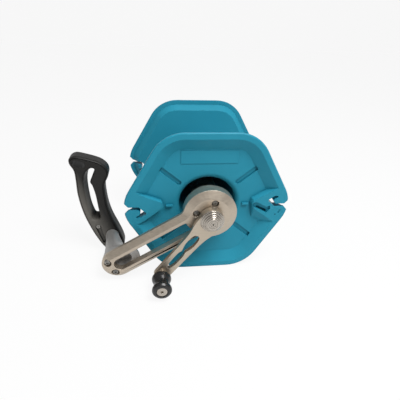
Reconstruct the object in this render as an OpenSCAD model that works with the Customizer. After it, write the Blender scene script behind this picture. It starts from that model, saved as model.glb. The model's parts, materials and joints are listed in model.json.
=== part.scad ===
// Hand-held line winch: a one-armed frame carries a crank-driven spool and a side grip for the other hand.
// Spool axis along Y, crank side at -Y, flat side of the spool standing on Z = 0.

/* [Spool] */
// Width of a flange over two opposite flat sides
flat_width = 216.5; // [205:0.5:225]
// Width of the spool over both rims
spool_width = 171; // [150:1:190]
// Radius of a flange's rounded corners
corner_r = 50; // [44:1:56]
// Width of the flat lip round a flange
lip_width = 8.5; // [7:0.5:10]
// Width of the sloped wall inside the lip, on the dished side
slope_width = 16; // [13:0.5:18]
// Width of the sloped wall inside the lip, on the side that faces the line
back_slope = 7.5; // [6:0.5:10]
// Depth of the dish below the lip
dish_depth = 9; // [7:0.5:10]
// Moulded wall thickness of a flange
flange_wall = 3.5; // [3:0.1:4]
// Outer radius of the winding drum
drum_r = 48; // [47:0.5:51]
// Width of the line channel in a flange tip
channel_width = 5; // [4.8:0.1:5.6]

/* [Frame] */
// Angle of the frame arm below the horizontal
arm_drop = 31; // [30:0.5:32]
// Distance from the spool axis to the round end of the arm
arm_length = 152; // [150:0.5:154]
// Half width of the arm at its side walls
arm_half = 21.6; // [20.5:0.1:22.5]
// Half width of the arm's front face inside the bevel
arm_face_half = 13.8; // [13:0.1:14.5]
// Half width of the slot along the arm
arm_slot_half = 9.5; // [8.5:0.1:10]
// Radius of the bearing head
head_r = 37; // [36:0.5:38]
// Radius of the bearing head's front face inside the bevel
head_face_r = 26.5; // [25.5:0.5:28]
// Radius of the post where it leaves the arm
post_r = 21.2; // [20:0.1:21.4]
// Thickness of the grip
grip_thick = 22; // [20:0.5:24]

/* [Crank] */
// Angle of the crank below the horizontal in the rest pose
crank_drop = 52.3; // [50:0.1:55]
// Distance from the spool axis to the knob axis
crank_length = 111.5; // [108:0.5:114]
// Thickness of the crank plate
crank_thick = 6; // [5:0.5:6.5]
// Largest radius of the knob
knob_r = 13.6; // [12.5:0.1:14.5]
// Length of the knob
knob_length = 30.4; // [28:0.2:33]

/* [Hidden] */
$fn = 96;

// stations along the spool axis, measured from the front rim
arm_front_y = -25;
arm_bevel_y = -19.5;
arm_back_y = -15;
head_back_y = 4;
head_taper_y = -3;
head_back_r = 33;
head_body_r = head_r - 0.6;
crank_face_y = -37;
crank_back_y = crank_face_y + crank_thick;
hub_back_y = -26.4;
knob_back_y = -41;
knob_front_y = knob_back_y - knob_length;
grip_front_y = 50;
grip_back_y = grip_front_y + grip_thick;

// flange
flange_deep = dish_depth + flange_wall;
slope_shift = 1.5;
rim_chamfer = 1.2;
hull_sides = 48;
seam = 0.01;
corner_ring = flat_width / sqrt(3) - corner_r / cos(30);
collar_r = drum_r - flange_wall - 0.1;
collar_wall = 4;
collar_length = 11.5;
well_r = collar_r - collar_wall;
well_round = 8;
bead_depth = 2.2;
bead_half = 3.4;
bead_near = 54;
bead_far = 87.5;
bead_angle = 40;
bar_height = 3.6;
panel_height = 0.6;
drum_inner_r = drum_r - flange_wall;
rear_web_y = spool_width - dish_depth;

// bearings and axle
axle_r = 7.5;
axle_end_r = 6;
axle_front_y = -43;
bearing_r = 16;
bearing_wide = 9;
ball_ring_r = 11.75;
ball_r = 2.4;
ball_count = 8;
outer_race_r = ball_ring_r + 2;
inner_race_r = ball_ring_r - 2;
front_bearing_y = 6;
rear_bearing_y = 112;
sleeve_r = 19.5;
shoulder_r = bearing_r - 3;
circlip_wide = 1.2;
sleeve_end_y = rear_bearing_y + bearing_wide + 4;
sleeve_flange_r = 27;
sleeve_flange_y = -3;
screw_ring = 20.1;
hub_disc_r = 39.8;
hub_front_y = 133;
hub_disc_y = rear_web_y - flange_wall - 8;
hub_boss_r = 16;
hub_ring = 30;
hub_light_r = 6;
washer_boss_r = 13.2;
nut_y = rear_web_y + 2;
nut_flats = 21;
nut_thick = 6;
key_wide = 5;
key_tall = 2.5;

// fasteners
m5_r = 2.5;
m5_head_r = 4.75;
m5_head_h = 2.6;
socket_sides = 6;
socket_r = 2;
socket_deep = 1.8;
recess_deep = 3.8;
sleeve_screw_angles = [-76, 104, 194];
sleeve_recess_r = 5.1;
post_recess_r = 5.8;

// arm, post and knob
arm_dir = 180 + arm_drop;
crank_dir = 180 + crank_drop;
post_screw_s = 160.3;
post_screw_n = [-11, 8.4];
post_top = [161.4, -8.6];
post_top_r = 9.8;
post_base = 3;
post_pocket_y = -2;
slot_near = 38;
slot_far = 145.5;
head_fillet = 14;
spigot_r = 6.5;
spigot_long = 14;
bolt_r = 3;
bolt_head_r = 5;
bolt_sunk = 6;
spindle_r = 4;
spindle_head_r = 7.5;
rivet_r = 3;
bush_r = 6;
bush_long = 6;
thrust_r = 8.6;
knob_bore_y = knob_front_y + 4.4;

// overall limits that place the part over the origin
mouth_half = 8.4;
grip_reach = 193.73;
tip_reach = corner_ring + sqrt(corner_r * corner_r - mouth_half * mouth_half);
mid_x = (tip_reach - grip_reach) / 2;
mid_y = (spool_width + knob_front_y) / 2;

// ---- helpers ----

// puts the spool axis over the middle of the footprint, flats on Z = 0
module placed() translate([-mid_x, -mid_y, flat_width / 2]) children();

// extrudes an outline drawn in X and Z between two stations along Y
module slab(front_y, back_y)
  translate([0, back_y, 0]) rotate([90, 0, 0]) linear_extrude(back_y - front_y) children();

// revolves a profile of radius and Y about the spool axis
module turned() rotate([-90, 0, 0]) rotate_extrude() children();

// a cylinder along Y
module rod(r, front_y, back_y)
  translate([0, front_y, 0]) rotate([-90, 0, 0]) cylinder(r = r, h = back_y - front_y);

// a straight slot outline with round ends
module leg(from, to, half) {
  span = norm(to - from);
  translate(from) rotate(atan2(to.y - from.y, to.x - from.x)) {
    translate([0, -half]) square([span, 2 * half]);
    circle(r = half);
    translate([span, 0]) circle(r = half);
  }
}

module on_arm() rotate([0, -arm_dir, 0]) children();
module on_crank() rotate([0, -crank_dir, 0]) children();
module at_post() on_arm() translate([post_top.x, 0, post_top.y]) children();
module at_knob() on_crank() translate([crank_length, 0, 0]) children();

function knot(p, i) = p[(i + len(p)) % len(p)];
function blend(a, b, c, d, t) =
  0.5 * (2 * b + (c - a) * t + (2 * a - 5 * b + 4 * c - d) * t * t + (3 * b - a - 3 * c + d) * t * t * t);
function smooth_loop(p, steps) = [
  for (i = [0:len(p) - 1]) for (k = [0:steps - 1])
    blend(knot(p, i - 1), knot(p, i), knot(p, i + 1), knot(p, i + 2), k / steps)
];
function arc(centre, r, from, to, steps, first, last) = [
  for (k = [first:last]) let (a = from + (to - from) * k / steps) centre + r * [cos(a), sin(a)]
];
function edge_in(p, i) = let (t = knot(p, i + 1) - knot(p, i)) [-t.y, t.x] / norm(t);
function inset(p, d) = [
  for (i = [0:len(p) - 1]) let (a = edge_in(p, i - 1), b = edge_in(p, i)) p[i] + d * (a + b) / (1 + a * b)
];

// a closed body through outlines of equal point count; each ring is [outline, y], front ring first
module loft(rings) {
  n = len(rings[0][0]);
  last = len(rings) - 1;
  polyhedron(
    points = [for (ring = rings) for (q = ring[0]) [q.x, ring[1], q.y]],
    faces = concat(
      [[for (i = [n - 1:-1:0]) i]],
      [[for (i = [0:n - 1]) last * n + i]],
      [for (j = [0:last - 1]) for (i = [0:n - 1])
        [j * n + i, j * n + (i + 1) % n, (j + 1) * n + (i + 1) % n, (j + 1) * n + i]]
    ),
    convexity = 6
  );
}

// a closed hoop through outlines of equal point count, the last joined back to the first
module hoop(rings) {
  n = len(rings[0][0]);
  m = len(rings);
  polyhedron(
    points = [for (ring = rings) for (q = ring[0]) [q.x, ring[1], q.y]],
    faces = [for (j = [0:m - 1]) for (i = [0:n - 1])
      [j * n + i, j * n + (i + 1) % n, (j + 1) % m * n + (i + 1) % n, (j + 1) % m * n + i]],
    convexity = 6
  );
}

// a button-head screw along Y: head towards -Y, under-head face at y
module button_screw(y, shank) {
  difference() {
    union() {
      rod(m5_r, y, y + shank);
      translate([0, y, 0]) rotate([90, 0, 0])
        rotate_extrude() polygon([[0, 0], [m5_head_r, 0], [m5_head_r, 0.6],
          [m5_head_r - 1.3, m5_head_h - 0.6], [m5_head_r - 2.3, m5_head_h], [0, m5_head_h]]);
    }
    translate([0, y - m5_head_h - seam, 0]) rotate([-90, 0, 0])
      cylinder(r = socket_r, h = socket_deep + seam, $fn = socket_sides);
  }
}

// ---- spool ----

// flange outline: a regular hexagon with round corners, drawn in from the rim by d
module hexagon_plate(d) {
  straight = corner_ring;
  circle(r = corner_ring, $fn = 6);
  for (a = [0:60:120]) rotate(a)
    translate([-straight / 2, -flat_width / 2 + d]) square([straight, flat_width - 2 * d]);
  for (a = [0:60:300]) rotate(a) translate([corner_ring, 0]) circle(r = corner_r - d);
}

module thin_hexagon(y, d) slab(y, y + seam) hexagon_plate(d, $fn = hull_sides);

// line notch in the left tip: funnel mouth, straight channel and a hooked eye behind the tongue
module line_notch() {
  half = channel_width / 2;
  mouth = [-111.3, half];
  lip = mouth + 2.4 * ([-tip_reach, mouth_half] - mouth);
  polygon([lip, mouth, [-97.4, half], [-87, -7], [-87.6, -9.4], [-95.4, -15.1], [-99.8, -15.2],
    [-101.4, -13.4], [-99.4, -11.6], [-96.8, -10.2], [-95, -7.2], [-96.6, -4], [-99.3, -half],
    [mouth.x, -half], [lip.x, -lip.y]]);
}

module notch_pair() {
  line_notch();
  rotate(180) line_notch();
}

// land behind the left notch, level with the lip
module left_land() {
  slab(-1, dish_depth + 1) polygon([[-63.5, 2], [-64.5, 7.2], [-66.5, 9.6], [-83.5, 16.4], [-92, 20.6],
    [-100, 26.6], [-111, 26.6], [-119, 8], [-119, -8], [-111, -26.9], [-101, -26.9], [-89.4, -19.7],
    [-75.1, -8.5], [-66.5, -1.4]]);
}

// land behind the right notch: ramped above and below, with a catch pocket cut in its near end
module right_land() {
  difference() {
    hull() {
      slab(-1, 0) polygon([[63.8, 3.5], [66, 8], [88, 18], [97, 26.5], [112, 26.5], [119, 0], [112, -30],
        [101, -27.6], [68.4, -4.3]]);
      slab(dish_depth, dish_depth + 1) polygon([[61.5, 3.5], [63.5, 9.5], [86, 23], [97, 29.5],
        [112, 29.5], [119, 0], [112, -44], [97.4, -39.9], [67, -24.2], [65, -9.9]]);
    }
    slab(-2, 3) polygon([[66, -2.4], [64.4, 1], [65.4, 4.8], [70, 5.6], [77, 2], [85.5, -2.5],
      [90, -0.6], [91, -6], [86.1, -12.5], [70.7, -4.6]]);
    slab(-2, dish_depth - 1) polygon([[69, -1.8], [73.6, -1.4], [86.3, -8.4], [86.1, -12.5], [70.7, -4.6]]);
    slab(-2, 3) leg([104.3, -12.4], [107.2, -8], 1.1);
    slab(-2, 3) translate([100, -15.7]) circle(r = 1);
  }
}

module flange_shell() {
  difference() {
    union() {
      hull() {
        thin_hexagon(0, rim_chamfer);
        thin_hexagon(rim_chamfer, 0);
        thin_hexagon(flange_wall - seam, 0);
      }
      hull() {
        thin_hexagon(flange_wall - seam, lip_width - slope_shift);
        thin_hexagon(flange_deep - seam, lip_width + back_slope - slope_shift);
      }
    }
    difference() {
      hull() {
        thin_hexagon(-seam, lip_width);
        thin_hexagon(dish_depth - seam, lip_width + slope_width);
      }
      left_land();
      right_land();
    }
  }
}

// the relief on the dished side, shared by both flanges
module flange_relief() {
  for (a = [0, 180])
    slab(dish_depth - bar_height, dish_depth + seam) rotate(a) leg([-58.5, 0], [-51.2, 0], 1.4);
  slab(dish_depth - panel_height, dish_depth + seam) translate([-39, 63]) square([78, 19]);
}

// ring on the back of the web that the drum is pressed over
module flange_collar(inner_r) turned() polygon([[inner_r, dish_depth], [collar_r, dish_depth],
  [collar_r, flange_deep + collar_length - 1], [collar_r - 1, flange_deep + collar_length],
  [inner_r, flange_deep + collar_length]]);

module flange_cuts() {
  slab(-1, flange_deep + 1) notch_pair();
  for (a = [bead_angle, 180 - bead_angle, 180 + bead_angle, -bead_angle])
    slab(dish_depth - 1, dish_depth + bead_depth) rotate(a) leg([bead_near, 0], [bead_far, 0], bead_half);
}

// the web rolls over into the bearing well
module well_mouth() {
  centre = [well_r + well_round, dish_depth + well_round];
  turned() polygon(concat(
    [[0, -1], [centre.x, -1]],
    arc(centre, well_round, 270, 180, 8, 0, 8),
    [[well_r, flange_deep + collar_length + 1], [0, flange_deep + collar_length + 1]]
  ));
}

module front_flange() {
  color("teal") placed() difference() {
    union() {
      flange_shell();
      flange_relief();
      flange_collar(well_r - 1);
    }
    flange_cuts();
    well_mouth();
  }
}

module rear_flange() {
  color("teal") placed() translate([0, spool_width, 0]) difference() {
    mirror([0, 1, 0]) difference() {
      union() {
        flange_shell();
        flange_relief();
        flange_collar(well_r);
      }
      flange_cuts();
    }
    rod(axle_r + 6, -flange_deep - 1, 1);
    for (a = [0:60:300]) rotate([0, a, 0]) translate([hub_ring, 0, 0]) rod(m5_r + 0.2, -flange_deep - 1, 1);
  }
}

module drum() {
  color("darkcyan") placed() difference() {
    rod(drum_r, flange_deep, spool_width - flange_deep);
    rod(drum_inner_r, flange_deep - 1, spool_width - flange_deep + 1);
  }
}

module rear_hub() {
  color("silver") placed() difference() {
    turned() polygon([[0, hub_front_y], [hub_boss_r, hub_front_y], [hub_boss_r, hub_disc_y - 4],
      [hub_boss_r + 4, hub_disc_y], [hub_disc_r, hub_disc_y], [hub_disc_r, rear_web_y - flange_wall],
      [0, rear_web_y - flange_wall]]);
    rod(axle_r, hub_front_y - 1, rear_web_y);
    translate([-key_wide / 2, hub_front_y - 1, 0]) cube([key_wide, 22, axle_r + key_tall]);
    for (a = [0:60:300]) rotate([0, a, 0]) translate([hub_ring, 0, 0])
      rod(m5_r, rear_web_y - flange_wall - 7, rear_web_y);
    for (a = [30:60:330]) rotate([0, a, 0]) translate([hub_ring - 1, 0, 0])
      rod(hub_light_r, hub_disc_y - 1, rear_web_y);
  }
}

module hub_screws() {
  color("dimgray") placed() for (a = [0:60:300]) rotate([0, a, 0]) translate([hub_ring, 0, 0])
    translate([0, 2 * rear_web_y, 0]) mirror([0, 1, 0]) button_screw(rear_web_y, flange_wall + 7);
}

// ---- axle and bearings ----

module axle() {
  color("gainsboro") placed() difference() {
    turned() polygon([[0, axle_front_y], [axle_end_r - 1, axle_front_y], [axle_end_r, axle_front_y + 1],
      [axle_end_r, crank_face_y], [axle_r, crank_face_y], [axle_r, rear_web_y - 4],
      [axle_end_r, rear_web_y - 4], [axle_end_r, nut_y + nut_thick],
      [axle_end_r - 1, nut_y + nut_thick + 0.8], [0, nut_y + nut_thick + 0.8]]);
    translate([-key_wide / 2, hub_front_y + 2, axle_r - key_tall]) cube([key_wide, 18, key_tall + 1]);
    translate([-key_wide / 2, crank_face_y + 1, axle_r - key_tall]) cube([key_wide, 10, key_tall + 1]);
  }
}

module hub_key() {
  color("gray") placed() translate([-key_wide / 2, hub_front_y + 2, axle_r - key_tall])
    cube([key_wide, 18, 2 * key_tall]);
}

module crank_key() {
  color("gray") placed() translate([-key_wide / 2, crank_face_y + 1, axle_r - key_tall])
    cube([key_wide, 10, 2 * key_tall]);
}

module axle_washer() {
  color("silver") placed() turned() polygon([[axle_end_r + 0.1, rear_web_y - flange_wall],
    [washer_boss_r, rear_web_y - flange_wall], [washer_boss_r, rear_web_y], [hub_boss_r, rear_web_y],
    [hub_boss_r, nut_y], [axle_end_r + 0.1, nut_y]]);
}

module axle_nut() {
  color("dimgray") placed() difference() {
    slab(nut_y, nut_y + nut_thick) circle(d = nut_flats / cos(30), $fn = 6);
    rod(axle_end_r, nut_y - 1, nut_y + nut_thick + 1);
  }
}

// outer race, inner race and ball row of one bearing whose front face is at y
module outer_race(y) turned() difference() {
  translate([outer_race_r, y]) square([bearing_r - outer_race_r, bearing_wide]);
  translate([ball_ring_r, y + bearing_wide / 2]) circle(r = ball_r, $fn = 24);
}

module inner_race(y) turned() difference() {
  translate([axle_r, y]) square([inner_race_r - axle_r, bearing_wide]);
  translate([ball_ring_r, y + bearing_wide / 2]) circle(r = ball_r + 0.08, $fn = 24);
}

module ball_row(y) {
  for (k = [0:ball_count - 1]) rotate([0, k * 360 / ball_count, 0])
    translate([ball_ring_r, y + bearing_wide / 2, 0]) sphere(r = ball_r, $fn = 16);
  difference() {
    rod(ball_ring_r + 0.9, y + bearing_wide / 2 - 1, y + bearing_wide / 2 + 1);
    rod(ball_ring_r - 0.9, y, y + bearing_wide);
  }
}

module front_outer_race() color("silver") placed() outer_race(front_bearing_y);
module rear_outer_race() color("silver") placed() outer_race(rear_bearing_y);
module front_inner_race() color("gainsboro") placed() inner_race(front_bearing_y);
module rear_inner_race() color("gainsboro") placed() inner_race(rear_bearing_y);
module front_balls() color("white") placed() ball_row(front_bearing_y);
module rear_balls() color("white") placed() ball_row(rear_bearing_y);

module race_spacer() {
  color("silver") placed() difference() {
    rod(axle_r + 2, front_bearing_y + bearing_wide, rear_bearing_y);
    rod(axle_r, front_bearing_y, rear_bearing_y + 1);
  }
}

// ring that lies against the rear bearing, in a groove 1 mm deep
module circlip_ring(inner_r) turned()
  translate([inner_r, rear_bearing_y + bearing_wide]) square([bearing_r + 1 - inner_r, circlip_wide]);

module bearing_sleeve() {
  color("lightgray") placed() difference() {
    turned() polygon([[shoulder_r, sleeve_flange_y], [sleeve_flange_r, sleeve_flange_y],
      [sleeve_flange_r, head_back_y], [sleeve_r + 3, head_back_y], [sleeve_r, head_back_y + 3],
      [sleeve_r, sleeve_end_y], [bearing_r, sleeve_end_y], [bearing_r, rear_bearing_y],
      [shoulder_r, rear_bearing_y], [shoulder_r, front_bearing_y + bearing_wide],
      [bearing_r, front_bearing_y + bearing_wide], [bearing_r, front_bearing_y],
      [shoulder_r, front_bearing_y]]);
    for (a = sleeve_screw_angles) rotate([0, a, 0]) translate([screw_ring, 0, 0])
      rod(m5_r, sleeve_flange_y - 1, head_back_y - 1);
    circlip_ring(bearing_r - 1);
  }
}

module sleeve_circlip() {
  color("dimgray") placed() difference() {
    circlip_ring(bearing_r - 2.4);
    translate([-3, rear_bearing_y, 4]) cube([6, 20, 20]);
  }
}

// ---- frame ----

// arm outline along +X from the bearing head at the origin, with fillets where the arm leaves the head
function arm_loop(head, half, fillet) =
  let (
    side = half + fillet,
    run = sqrt((head + fillet) * (head + fillet) - side * side),
    turn = atan2(side, run)
  )
  concat(
    arc([0, 0], head, turn, 360 - turn, 28, 0, 28),
    arc([run, -side], fillet, 180 - turn, 90, 5, 1, 5),
    arc([arm_length, 0], half, -90, 90, 14, 0, 14),
    arc([run, side], fillet, 270, 180 + turn, 5, 0, 4)
  );

module frame_arm() {
  color("burlywood") placed() difference() {
    union() {
      on_arm() loft([
        [arm_loop(head_face_r, arm_face_half, head_fillet + head_r - head_face_r), arm_front_y],
        [arm_loop(head_r, arm_half, head_fillet), arm_bevel_y],
        [arm_loop(head_r, arm_half, head_fillet), arm_back_y]
      ]);
      turned() polygon([[0, arm_back_y - 1], [head_body_r, arm_back_y - 1], [head_body_r, head_taper_y],
        [head_back_r, head_back_y], [0, head_back_y]]);
    }
    on_arm() slab(arm_front_y - 1, arm_back_y) leg([slot_near, 0], [slot_far, 0], arm_slot_half);
    rod(axle_r + 1.5, arm_front_y - 1, head_back_y + 1);
    rod(sleeve_flange_r, sleeve_flange_y, head_back_y + 1);
    for (a = sleeve_screw_angles) rotate([0, a, 0]) translate([screw_ring, 0, 0]) {
      rod(m5_r, arm_front_y - 1, head_back_y);
      rod(sleeve_recess_r, arm_front_y - 1, arm_front_y + recess_deep);
    }
    for (n = post_screw_n) on_arm() translate([post_screw_s, 0, n]) {
      rod(m5_r, arm_front_y - 1, arm_back_y + 1);
      rod(post_recess_r, arm_front_y - 1, arm_front_y + recess_deep);
    }
  }
}

module sleeve_screws() {
  color("dimgray") placed() for (a = sleeve_screw_angles) rotate([0, a, 0]) translate([screw_ring, 0, 0])
    button_screw(arm_front_y + recess_deep, head_back_y - 1 - arm_front_y - recess_deep);
}

// outline of the post at one station, in arm coordinates: a round end at `far` and one at `near`
function post_ring(far, near, n, r) = concat(
  arc([far, n], r, -90, 90, 14, 0, 14),
  arc([near, n], r, 90, 270, 14, 0, 14)
);

// the post leaves the arm's full width, is hollowed behind the slot's end, and draws in to a neck at the grip
module grip_post() {
  color("silver") placed() difference() {
    union() {
      on_arm() slab(arm_back_y, arm_back_y + post_base) polygon(post_ring(arm_length, 139, 0, post_r));
      on_arm() loft([
        [post_ring(arm_length, 139.4, 0, post_r - 0.4), arm_back_y + post_base - 1],
        [post_ring(152.6, 143, -0.6, 20), -9],
        [post_ring(154.4, 150, -2, 17), 0],
        [post_ring(156.8, 155, -4.2, 13.7), 15],
        [post_ring(159.3, 158.4, -6.6, 11.2), 32],
        [post_ring(161.6, 161.2, -8.5, post_top_r - 0.1), grip_front_y - 3]
      ]);
      at_post() rod(post_top_r, grip_front_y - 5, grip_front_y);
      at_post() rod(spigot_r, grip_front_y - 1, grip_front_y + spigot_long);
    }
    for (n = post_screw_n) on_arm() translate([post_screw_s, 0, n])
      rod(m5_r, arm_back_y - 1, arm_back_y + 12);
    on_arm() slab(arm_back_y - 1, post_pocket_y) leg([139, 0], [slot_far, 0], arm_slot_half);
    at_post() rod(bolt_r, grip_front_y - 6, grip_front_y + spigot_long + 1);
  }
}

module post_screws() {
  color("dimgray") placed() for (n = post_screw_n) on_arm() translate([post_screw_s, 0, n])
    button_screw(arm_front_y + recess_deep, arm_back_y - arm_front_y - recess_deep + 11);
}

module post_bolt() {
  color("dimgray") placed() at_post() difference() {
    turned() polygon([[0, grip_front_y - 6], [bolt_r, grip_front_y - 6], [bolt_r, grip_back_y - bolt_sunk],
      [bolt_head_r, grip_back_y - bolt_sunk], [bolt_head_r, grip_back_y - 1], [0, grip_back_y - 1]]);
    translate([0, grip_back_y - 4, 0]) rotate([-90, 0, 0]) cylinder(r = 2.6, h = 4, $fn = socket_sides);
  }
}

// the grip's flat land is set off from its rounded edge by a fine groove
grip_land = 3;
grip_step = 0.3;
lanyard_r = 5;
pocket_deep = 2.4;
grip_screw_at = [-163.6, -60.5];
grip_screw_r = 2;
grip_screw_end_y = grip_back_y - 6;

// outline of the grip in X and Z, counter-clockwise from the heel
grip_outline = smooth_loop([
  [-143, -108.2], [-131, -105.5], [-125.6, -97], [-127, -84], [-133, -66], [-140.5, -46], [-145.6, -25],
  [-147.7, -2], [-147, 13], [-142.2, 23.5], [-140.2, 31], [-142.6, 39.8], [-153, 48.6], [-174, 55.5],
  [-185.5, 57.4], [-193, 52.6], [-193, 45], [-188.3, 35], [-187.7, 18], [-188, 0], [-186.2, -18.6],
  [-182.2, -40], [-175.1, -62.8], [-166.5, -84], [-156, -102]
], 3);

grip_slot_outline = smooth_loop([
  [-164.5, -47.3], [-159, -44], [-160.3, -28], [-162, -6], [-165, 10], [-167.6, 17], [-163, 28],
  [-159.5, 35.5], [-162, 38.8], [-167.5, 37], [-174, 29], [-177, 15], [-176.8, -6], [-174.8, -28],
  [-171, -44.5]
], 3);

// the slot narrows towards the back on the side of the finger tips and at its foot
function slot_back(p) = [
  for (q = p) [q.x + 3.2 * max(0, min(1, (-163 - q.x) / 9)), q.y + 4 * max(0, min(1, (-20 - q.y) / 20))]
];

module grip() {
  color("dimgray") placed() difference() {
    union() {
      slab(grip_front_y, grip_back_y) polygon(inset(grip_outline, grip_land));
      hoop([
        [inset(grip_outline, grip_land + 1.6), grip_front_y + 2],
        [inset(grip_outline, grip_land - 1.1), grip_front_y + grip_step],
        [inset(grip_outline, 0.6), grip_front_y + 1.3],
        [inset(grip_outline, 0), grip_front_y + 3.6],
        [inset(grip_outline, 0), grip_back_y - 3.6],
        [inset(grip_outline, 0.6), grip_back_y - 1.3],
        [inset(grip_outline, grip_land - 1.1), grip_back_y - grip_step],
        [inset(grip_outline, grip_land + 1.6), grip_back_y - 2]
      ]);
    }
    loft([
      [inset(grip_slot_outline, -2.6), grip_front_y - 1],
      [inset(grip_slot_outline, -2.6), grip_front_y],
      [inset(grip_slot_outline, -0.8), grip_front_y + 1],
      [inset(grip_slot_outline, 0), grip_front_y + 3],
      [slot_back(inset(grip_slot_outline, 0)), grip_back_y - 3],
      [slot_back(inset(grip_slot_outline, -0.8)), grip_back_y - 1],
      [slot_back(inset(grip_slot_outline, -2.6)), grip_back_y],
      [slot_back(inset(grip_slot_outline, -2.6)), grip_back_y + 1]
    ]);
    slab(grip_front_y - 1, grip_back_y + 1) hull() {
      translate([-184, 47]) circle(r = lanyard_r, $fn = hull_sides);
      translate([-176.4, 44.8]) circle(r = lanyard_r, $fn = hull_sides);
    }
    slab(grip_front_y - 1, grip_front_y + pocket_deep) hull() {
      translate(grip_screw_at) circle(r = 4, $fn = hull_sides);
      translate([-156.4, -88]) circle(r = 2.8, $fn = hull_sides);
    }
    translate([grip_screw_at.x, 0, grip_screw_at.y]) rod(grip_screw_r, grip_front_y, grip_screw_end_y);
    at_post() rod(spigot_r, grip_front_y - 1, grip_front_y + spigot_long);
    at_post() rod(bolt_r, grip_front_y, grip_back_y);
    at_post() rod(bolt_head_r + 0.3, grip_back_y - bolt_sunk, grip_back_y + 1);
  }
}

module grip_screw() {
  color("silver") placed() translate([grip_screw_at.x, 0, grip_screw_at.y]) difference() {
    turned() polygon([[0, grip_front_y + 0.4], [2.9, grip_front_y + 0.4], [3.4, grip_front_y + 0.9],
      [3.4, grip_front_y + pocket_deep], [grip_screw_r, grip_front_y + pocket_deep],
      [grip_screw_r, grip_screw_end_y], [0, grip_screw_end_y]]);
    rod(1.2, grip_front_y, grip_front_y + 1.6);
  }
}

// ---- crank ----

crank_hub_r = 16.2;

// half widths of the crank plate at stations along it
crank_end_r = 10.6;
crank_sides = [[-10, 11], [5, 16.1], [13, 16], [20, 15], [26, 13.4], [33, 12.2], [42, 11.5], [60, 11],
  [100, crank_end_r]];

crank_outline = concat(
  [for (p = crank_sides) [p.x, -p.y]],
  arc([crank_length, 0], crank_end_r, -90, 90, 12, 0, 12),
  [for (i = [len(crank_sides) - 1:-1:0]) crank_sides[i]]
);

crank_window = smooth_loop([
  [29.5, 0], [33, -4.8], [44, -6.3], [53, -5.3], [61, -3], [68, -4.6], [88, -4.2], [96.5, 0],
  [88, 4.2], [68, 4.6], [61, 3], [53, 5.3], [44, 6.3], [33, 4.8]
], 4);

module crank_arm() {
  color("silver") placed() difference() {
    union() {
      on_crank() slab(crank_face_y, crank_back_y) polygon(crank_outline);
      turned() polygon([[0, crank_face_y], [crank_hub_r, crank_face_y], [crank_hub_r, hub_back_y - 1],
        [crank_hub_r - 1, hub_back_y], [0, hub_back_y]]);
    }
    on_crank() slab(crank_face_y - 1, crank_back_y + 1) polygon(crank_window);
    rod(axle_r, crank_face_y - 1, hub_back_y + 1);
    translate([-key_wide / 2, crank_face_y - 1, 0]) cube([key_wide, 12, axle_r + key_tall]);
    at_knob() rod(rivet_r, crank_face_y - 1, crank_back_y + 1);
  }
}

// turned cap: steps of radius and distance in front of the crank face
cap_deep = 8.5;
cap_steps = [[crank_hub_r, 0], [crank_hub_r, 0.7], [15.4, 1.4], [14.2, 1.8], [14.2, 2.7], [13.6, 3.2],
  [12.2, 3.6], [12.2, 4.6], [11.6, 5.2], [10.3, 5.6], [10.3, 6.8], [9.8, 7.3], [8.3, 7.6], [8.3, 8.2],
  [8, cap_deep]];
cap_groove = 0.6;
cap_groove_deep = 0.35;

module crank_cap() {
  color("silver") placed() difference() {
    turned() polygon(concat([[0, crank_face_y]], [for (p = cap_steps) [p.x, crank_face_y - p.y]],
      [[0, crank_face_y - cap_deep]]));
    rod(axle_end_r, axle_front_y, crank_face_y + 1);
    rod(1.2, crank_face_y - 10, axle_front_y + 1);
    for (r = [3.2, 5.6])
      turned() translate([r, crank_face_y - cap_deep - 1]) square([cap_groove, 1 + cap_groove_deep]);
  }
}

module knob_washer() {
  color("silver") placed() at_knob() difference() {
    rod(9, knob_back_y + 1.4, crank_face_y);
    rod(spindle_r, knob_back_y, crank_face_y + 1);
  }
}

// shoulder screw the knob turns on, riveted flush behind the crank
module knob_spindle() {
  color("silver") placed() at_knob() difference() {
    turned() polygon([[0, knob_front_y + 0.4], [spindle_head_r - 0.5, knob_front_y + 0.4],
      [spindle_head_r, knob_front_y + 0.9], [spindle_head_r, knob_bore_y - 0.4],
      [spindle_r, knob_bore_y - 0.4], [spindle_r, crank_face_y], [rivet_r, crank_face_y],
      [rivet_r, crank_back_y + 1.2], [0, crank_back_y + 1.2]]);
    translate([0, knob_front_y, 0]) rotate([-90, 0, 0]) cylinder(r = 2.3, h = 3, $fn = socket_sides);
  }
}

// two bronze bushes; the one at the crank has a thrust flange
module knob_bushes() {
  color("goldenrod") placed() at_knob() difference() {
    union() {
      rod(bush_r, knob_back_y - bush_long, knob_back_y + 1);
      rod(thrust_r, knob_back_y, knob_back_y + 1);
      rod(bush_r, knob_bore_y, knob_bore_y + bush_long);
    }
    rod(spindle_r + 0.05, knob_front_y, knob_back_y + 2);
  }
}

// knob profile from the crank side to the free end: two lobes with a neck between them
knob_profile = [
  [0.62, 0], [0.88, 0.03], [0.99, 0.1], [0.99, 0.19], [0.9, 0.31], [0.77, 0.43], [0.735, 0.5],
  [0.77, 0.58], [0.9, 0.7], [0.99, 0.81], [0.99, 0.9], [0.88, 0.97], [0.7, 1]
];

module knob() {
  color("dimgray") placed() at_knob() difference() {
    turned() polygon(concat(
      [[0, knob_back_y]],
      [for (p = knob_profile) [knob_r * p.x, knob_back_y - knob_length * p.y]],
      [[0, knob_front_y]]
    ));
    rod(bush_r, knob_back_y - bush_long, knob_back_y + 1);
    rod(spindle_r + 0.6, knob_front_y + 2, knob_back_y);
    rod(bush_r, knob_bore_y, knob_bore_y + bush_long);
    rod(spindle_head_r + 0.4, knob_front_y - 1, knob_bore_y);
  }
}

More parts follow.
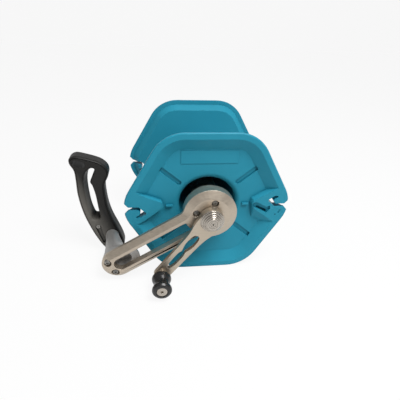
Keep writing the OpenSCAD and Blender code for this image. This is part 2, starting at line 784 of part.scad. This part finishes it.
frame_arm();
bearing_sleeve();
sleeve_screws();
sleeve_circlip();
front_outer_race();
front_balls();
rear_outer_race();
rear_balls();
grip_post();
post_screws();
post_bolt();
grip();
grip_screw();
front_flange();
rear_flange();
drum();
rear_hub();
hub_screws();
axle();
axle_washer();
axle_nut();
hub_key();
front_inner_race();
rear_inner_race();
race_spacer();
crank_arm();
crank_key();
crank_cap();
knob_spindle();
knob_washer();
knob();
knob_bushes();
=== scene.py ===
# Hand line winch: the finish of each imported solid, and the studio that the winch stands in.
# Lengths are in metres. The spool's axis runs along Y, and the crank is on its -Y side.
import json
import math

import bpy
from mathutils import Matrix, Vector


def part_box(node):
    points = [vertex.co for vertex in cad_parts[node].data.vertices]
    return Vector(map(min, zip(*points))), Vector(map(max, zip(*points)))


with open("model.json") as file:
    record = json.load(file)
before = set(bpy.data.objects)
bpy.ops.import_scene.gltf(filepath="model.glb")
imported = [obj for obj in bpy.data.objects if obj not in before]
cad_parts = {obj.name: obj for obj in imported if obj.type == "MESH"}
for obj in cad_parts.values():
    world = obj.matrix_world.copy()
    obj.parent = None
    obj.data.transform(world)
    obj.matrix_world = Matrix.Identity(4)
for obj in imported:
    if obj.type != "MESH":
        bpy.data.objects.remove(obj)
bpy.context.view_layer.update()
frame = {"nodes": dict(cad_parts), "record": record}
scene = bpy.context.scene
scene.view_settings.view_transform = "Standard"

# ---- Camera ----
# It looks down on the crank side from the left, close enough for strong perspective. Its place
# is measured from the spool's axis and from the rim of the front flange.
spool_joint, knob_joint = frame["record"]["behaviour"]["joints"]
spool_axis = Vector(spool_joint["pos_m"])
front_rim_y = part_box("front_flange")[0][1]
left_of_axis, before_rim, above_axis = 0.0743, 0.4145, 0.2492
camera_turn = math.radians(8.5)
camera_drop = math.radians(29.524)
camera_roll = math.radians(2.7)
camera_data = bpy.data.cameras.new("camera")
camera_data.sensor_width = 36.0
camera_data.lens = 31.14
camera = bpy.data.objects.new("camera", camera_data)
camera.matrix_world = (
    Matrix.Translation((spool_axis.x - left_of_axis, front_rim_y - before_rim,
                        spool_axis.z + above_axis))
    @ Matrix.Rotation(-camera_turn, 4, "Z")
    @ Matrix.Rotation(math.pi / 2 - camera_drop, 4, "X")
    @ Matrix.Rotation(camera_roll, 4, "Z"))
scene.collection.objects.link(camera)
scene.camera = camera

# ---- Light ----
# A plain room, and one broad soft lamp high in front and to the right. The room is white to the
# camera and a dim grey to everything else, so that it fills the shadows and pales nothing.
white = (1.0, 1.0, 1.0, 1.0)
room_grey = 0.36
lamp_place = Vector((0.35, -0.5, 1.2))
lamp_aim = Vector((0.0, 0.0, 0.1))
lamp_side = 0.6
lamp_power = 17.0


def feed(tree, socket, given):
    """Gives a socket a plain value, or a link if what is given is another node's output."""
    if isinstance(given, bpy.types.NodeSocket):
        tree.links.new(given, socket)
    else:
        socket.default_value = given


def add_node(tree, kind, **inputs):
    """Adds a shader node and feeds its inputs, each by its own name with _ for a space."""
    added = tree.nodes.new("ShaderNode" + kind)
    for name, given in inputs.items():
        feed(tree, added.inputs[name.replace("_", " ")], given)
    return added


def part_seen(tree, share, lit, seen):
    """Mixes two shaders: a ray meets the seen one by its share and the lit one for the rest."""
    mix = add_node(tree, "MixShader", Fac=share)
    tree.links.new(lit, mix.inputs[1])
    tree.links.new(seen, mix.inputs[2])
    return mix.outputs["Shader"]


world = bpy.data.worlds.new("room")
world.use_nodes = True
scene.world = world
room = world.node_tree
room.nodes.clear()
rays = add_node(room, "LightPath")
grey_light = add_node(room, "Background", Color=white, Strength=room_grey)
white_view = add_node(room, "Background", Color=white)
add_node(room, "OutputWorld", Surface=part_seen(
    room, rays.outputs["Is Camera Ray"],
    grey_light.outputs["Background"], white_view.outputs["Background"]))

lamp_light = bpy.data.lights.new("front_lamp", "AREA")
lamp_light.size = lamp_side
lamp_light.energy = lamp_power
lamp = bpy.data.objects.new("front_lamp", lamp_light)
lamp.location = lamp_place
lamp.rotation_euler = (lamp_aim - lamp_place).to_track_quat("-Z", "Y").to_euler()
scene.collection.objects.link(lamp)

# ---- Floor and backdrop ----
# A pale studio floor and a white wall well behind it, in one matt paint. Both look white and
# show as white in bright metal, and the floor keeps a faint shadow.
room_reach = 4.0
wall_y = 3.0
paint_grey = (0.8, 0.8, 0.8, 1.0)
white_to_camera, white_in_mirrors = 0.9, 0.55


def weighted(tree, value, weight, plus=0.0):
    """A node's output times a weight, plus a number or another output."""
    added = tree.nodes.new("ShaderNodeMath")
    added.operation = "MULTIPLY_ADD"
    for socket, given in zip(added.inputs, (value, weight, plus)):
        feed(tree, socket, given)
    return added.outputs["Value"]


studio_paint = bpy.data.materials.new("studio_paint")
studio_paint.use_nodes = True
paint = studio_paint.node_tree
paint.nodes.clear()
rays = add_node(paint, "LightPath")
camera_share = weighted(paint, rays.outputs["Is Camera Ray"], white_to_camera)
white_share = weighted(paint, rays.outputs["Is Glossy Ray"], white_in_mirrors, camera_share)
matt_coat = add_node(paint, "BsdfDiffuse", Color=paint_grey)
white_view = add_node(paint, "Emission")
add_node(paint, "OutputMaterial", Surface=part_seen(
    paint, white_share, matt_coat.outputs["BSDF"], white_view.outputs["Emission"]))

for name, corners in (
        ("floor", [(-room_reach, -room_reach, 0), (room_reach, -room_reach, 0),
                   (room_reach, wall_y, 0), (-room_reach, wall_y, 0)]),
        ("backdrop", [(-room_reach, wall_y, 0), (room_reach, wall_y, 0),
                      (room_reach, wall_y, room_reach), (-room_reach, wall_y, room_reach)])):
    sheet = bpy.data.meshes.new(name)
    sheet.from_pydata(corners, [], [(0, 1, 2, 3)])
    sheet.materials.append(studio_paint)
    stage_piece = bpy.data.objects.new(name, sheet)
    scene.collection.objects.link(stage_piece)

# ---- Frame arm ----
# One piece of machined aluminium: the bearing head, a long slot and a bevel all round. It carries
# the spool from one side. Fine cutter lines run along it, and its edges are slightly broken.
arm_lean = math.radians(31)


def new_finish(name, metallic=0.0):
    """A new material with one surface shader; returns the material and that shader's node."""
    material = bpy.data.materials.new(name)
    material.use_nodes = True
    surface = material.node_tree.nodes["Principled BSDF"]
    surface.inputs["Metallic"].default_value = metallic
    return material, surface


def grain(surface, scale, detail, stretch=(1, 1, 1), lean=0.0):
    """Noise in the solid, which stretch draws out into streaks that lean about Y."""
    tree = surface.id_data
    place = add_node(tree, "TexCoord").outputs["Object"]
    streaks = add_node(tree, "Mapping", Vector=place, Rotation=(0, lean, 0), Scale=stretch)
    noise = add_node(tree, "TexNoise", Vector=streaks.outputs["Vector"], Scale=scale,
                     Detail=detail)
    return noise.outputs["Fac"]


def blend_colours(tree, share, first, second):
    """Mixes two colours, or nodes' outputs, by a share that is 0 for the first and 1 for the other."""
    blend = tree.nodes.new("ShaderNodeMix")
    blend.data_type = "RGBA"
    for socket, given in (("Factor", share), ("A", first), ("B", second)):
        feed(tree, blend.inputs[socket], given)
    return blend.outputs["Result"]


def tint(surface, pattern, dark, light):
    """Colours the surface from dark to light by a pattern."""
    tree = surface.id_data
    blend = blend_colours(tree, pattern, (*dark, 1.0), (*light, 1.0))
    feed(tree, surface.inputs["Base Color"], blend)


def shade_hollows(surface, reach, dark):
    """Paints shade into a tinted surface, darkening it where the piece's own walls stand closer than
    reach.
    """
    tree = surface.id_data
    shut_in, in_the_open = 0.45, 0.95
    hollow = add_node(tree, "AmbientOcclusion", Distance=reach)
    hollow.samples = 8
    hollow.only_local = True
    openness = add_node(tree, "MapRange", Value=hollow.outputs["AO"], From_Min=shut_in,
                        From_Max=in_the_open)
    tinted = surface.inputs["Base Color"].links[0].from_socket
    blend = blend_colours(tree, openness.outputs["Result"], (*dark, 1.0), tinted)
    feed(tree, surface.inputs["Base Color"], blend)


def roughen(surface, pattern, smooth, rough):
    """Spreads the roughness from smooth to rough over the middle of the pattern's range."""
    tree = surface.id_data
    spread = add_node(tree, "MapRange", Value=pattern, From_Min=0.3, From_Max=0.7,
                      To_Min=smooth, To_Max=rough)
    feed(tree, surface.inputs["Roughness"], spread.outputs["Result"])


def relief(surface, pattern, depth, strength, edge):
    """Raises a pattern as a fine bump, over edges that are broken to the given radius."""
    tree = surface.id_data
    broken_edge = add_node(tree, "Bevel", Radius=edge)
    broken_edge.samples = 6
    bump = add_node(tree, "Bump", Height=pattern, Distance=depth, Strength=strength,
                    Normal=broken_edge.outputs["Normal"])
    feed(tree, surface.inputs["Normal"], bump.outputs["Normal"])


def dress(material, *solids):
    """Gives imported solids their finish, on every material slot that they have."""
    for solid in solids:
        for material_slot in frame["nodes"][solid].material_slots:
            material_slot.material = material


arm_metal, surface = new_finish("arm_metal", metallic=0.9)
cutter_lines = grain(surface, scale=10, detail=3, stretch=(6, 60, 90), lean=arm_lean)
tint(surface, cutter_lines, dark=(0.43, 0.365, 0.29), light=(0.62, 0.54, 0.445))
# Painted shade: the arm's colour darkens in its own slot, corners and recesses.
shade_hollows(surface, reach=0.005, dark=(0.24, 0.2, 0.16))
roughen(surface, cutter_lines, 0.34, 0.5)
relief(surface, cutter_lines, depth=0.0002, strength=0.25, edge=0.0008)
dress(arm_metal, "frame_arm")

# ---- Turned pieces ----
# The bearing sleeve is screwed to the back of the arm's head, and the hub plate to the inside of
# the rear flange. Like the spacer, the washers and the knob's spindle, they are aluminium turned
# on a lathe, so their fine lines run round.
turned_metal, surface = new_finish("turned_metal", metallic=0.95)
lathe_lines = grain(surface, scale=2, detail=2, stretch=(40, 900, 40))
tint(surface, lathe_lines, dark=(0.38, 0.34, 0.29), light=(0.56, 0.515, 0.455))
roughen(surface, lathe_lines, 0.26, 0.42)
relief(surface, lathe_lines, depth=0.0001, strength=0.2, edge=0.0003)
dress(turned_metal, "bearing_sleeve", "rear_hub", "axle_washer", "race_spacer", "knob_washer",
      "knob_spindle")

# ---- Grip post ----
# A stub of cast aluminium, drawn in to a neck, which stands the grip off the end of the arm.
# It is bead-blasted all over, to an even grey with no direction.
blasted_metal, surface = new_finish("blasted_metal", metallic=0.6)
beads = grain(surface, scale=600, detail=3)
tint(surface, beads, dark=(0.36, 0.352, 0.342), light=(0.5, 0.49, 0.476))
roughen(surface, beads, 0.42, 0.56)
relief(surface, beads, depth=0.0001, strength=0.3, edge=0.0005)
dress(blasted_metal, "grip_post")

# ---- Grip ----
# A closed loop for one hand, moulded in glass-filled black nylon with a very fine even grain and
# bolted to the post. Its left and lower side is painted paler, as a painted sheen, and painted
# shade darkens its hollows.
# Painted sheen: the pale colour is full on the left and lower side of the loop and fades out across
# it.
across_grip = (1.0, 0.0, 0.45)
sheen_start, sheen_width, grain_mottle = 0.0491, 0.026, 0.2
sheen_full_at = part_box("grip")[0][0] + sheen_start
sheen_gone_at = sheen_full_at + sheen_width
grip_nylon, surface = new_finish("grip_nylon")
surface.inputs["Specular IOR Level"].default_value = 0.22
nylon_grain = grain(surface, scale=900, detail=4)
nylon = grip_nylon.node_tree
reach_across = nylon.nodes.new("ShaderNodeVectorMath")
reach_across.operation = "DOT_PRODUCT"
feed(nylon, reach_across.inputs[0], add_node(nylon, "TexCoord").outputs["Object"])
feed(nylon, reach_across.inputs[1], across_grip)
sheen_share = add_node(nylon, "MapRange", Value=reach_across.outputs["Value"], From_Min=sheen_full_at,
                  From_Max=sheen_gone_at, To_Min=1.0, To_Max=0.0)
grain_and_sheen = weighted(nylon, nylon_grain, grain_mottle, sheen_share.outputs["Result"])
# The light colour here is the painted sheen, and the mottle on it is the nylon's grain.
tint(surface, grain_and_sheen, dark=(0.004, 0.0042, 0.0045), light=(0.13, 0.122, 0.108))
# Painted shade: the grip's pockets, slot ends and other hollows turn near black.
shade_hollows(surface, reach=0.014, dark=(0.003, 0.003, 0.003))
roughen(surface, nylon_grain, 0.36, 0.48)
relief(surface, nylon_grain, depth=0.0001, strength=0.15, edge=0.0008)
dress(grip_nylon, "grip")

# ---- Screws and clips ----
# The socket screws, bolt, nut, circlip and keys are bought in. They are steel, zinc-plated to a
# dull grey, and hold the turned, cast and moulded pieces together.
screw_metal, surface = new_finish("screw_metal", metallic=1.0)
plating = grain(surface, scale=400, detail=3)
tint(surface, plating, dark=(0.22, 0.213, 0.2), light=(0.38, 0.37, 0.35))
roughen(surface, plating, 0.3, 0.45)
relief(surface, plating, depth=0.00005, strength=0.2, edge=0.0002)
dress(screw_metal, "sleeve_screws", "post_screws", "post_bolt", "grip_screw", "hub_screws",
      "axle_nut", "sleeve_circlip", "hub_key", "crank_key")

# ---- Bearings and axle ----
# Two bought ball bearings run in the sleeve and carry the keyed axle. The races, the balls and
# the axle are hardened steel, ground bright and smooth.
ground_steel, surface = new_finish("ground_steel", metallic=1.0)
grinding = grain(surface, scale=3, detail=2, stretch=(60, 600, 60))
tint(surface, grinding, dark=(0.52, 0.52, 0.52), light=(0.66, 0.66, 0.66))
roughen(surface, grinding, 0.16, 0.28)
dress(ground_steel, "axle", "front_outer_race", "rear_outer_race", "front_inner_race",
      "rear_inner_race", "front_balls", "rear_balls")

# ---- Flanges and drum ----
# The line is wound on the drum, between two dished hexagons with hooked notches. All three are
# injection-moulded in sea-blue plastic, with a little flow shading under a faint orange peel.
flange_plastic, surface = new_finish("flange_plastic")
surface.inputs["Specular IOR Level"].default_value = 0.1
flow = grain(surface, scale=14, detail=3)
peel = grain(surface, scale=700, detail=3)
tint(surface, flow, dark=(0.018, 0.228, 0.332), light=(0.028, 0.272, 0.385))
# Painted shade: the plastic darkens in its notches, grooves and the well round the hub.
shade_hollows(surface, reach=0.006, dark=(0.008, 0.16, 0.24))
roughen(surface, peel, 0.3, 0.42)
relief(surface, peel, depth=0.0001, strength=0.12, edge=0.0006)
dress(flange_plastic, "front_flange", "rear_flange", "drum")

# ---- Crank arm ----
# Machined from the same aluminium as the frame arm, with a waisted window, and keyed to the
# axle. Its cutter lines run from the spool's axis to the knob's.
crank_run = Vector(knob_joint["pos_m"]) - spool_axis
crank_lean = math.atan2(-crank_run.z, -crank_run.x)
crank_metal, surface = new_finish("crank_metal", metallic=0.9)
crank_lines = grain(surface, scale=10, detail=3, stretch=(6, 60, 90), lean=crank_lean)
tint(surface, crank_lines, dark=(0.43, 0.365, 0.29), light=(0.62, 0.54, 0.435))
# Painted shade: the crank darkens in its window and round its hub.
shade_hollows(surface, reach=0.004, dark=(0.1, 0.085, 0.07))
roughen(surface, crank_lines, 0.32, 0.46)
relief(surface, crank_lines, depth=0.0002, strength=0.25, edge=0.0007)
dress(crank_metal, "crank_arm")

# ---- Crank cap ----
# A stepped cap, turned from aluminium bar, which closes the crank's hub on the spool's axis.
# The lathe has left fine bright and dark rings on its dome and round its side.
cap_metal, surface = new_finish("cap_metal", metallic=0.95)
cap_bar = cap_metal.node_tree
on_axis = add_node(cap_bar, "Mapping", Vector=add_node(cap_bar, "TexCoord").outputs["Object"],
                   Location=-spool_axis)
rings = add_node(cap_bar, "TexWave", Vector=on_axis.outputs["Vector"], Scale=260, Distortion=0.6)
rings.wave_type = "RINGS"
rings.rings_direction = "Y"
cap_rings = rings.outputs["Fac"]
tint(surface, cap_rings, dark=(0.26, 0.235, 0.2), light=(0.68, 0.62, 0.55))
# Painted shade: the cap darkens between its steps and at its base.
shade_hollows(surface, reach=0.005, dark=(0.04, 0.036, 0.03))
roughen(surface, cap_rings, 0.16, 0.3)
relief(surface, cap_rings, depth=0.00006, strength=0.12, edge=0.0002)
dress(cap_metal, "crank_cap")

# ---- Knob ----
# Two lobes turned in one piece of black plastic, polished by the fingers. It spins on the
# spindle with a sintered bronze bush pressed into each end.
knob_plastic, surface = new_finish("knob_plastic")
surface.inputs["Base Color"].default_value = (0.012, 0.012, 0.012, 1.0)
handling = grain(surface, scale=120, detail=4)
roughen(surface, handling, 0.16, 0.32)
dress(knob_plastic, "knob")
bush_bronze, surface = new_finish("bush_bronze", metallic=1.0)
surface.inputs["Roughness"].default_value = 0.35
sinter = grain(surface, scale=600, detail=3)
tint(surface, sinter, dark=(0.45, 0.29, 0.13), light=(0.62, 0.42, 0.2))
dress(bush_bronze, "knob_bushes")
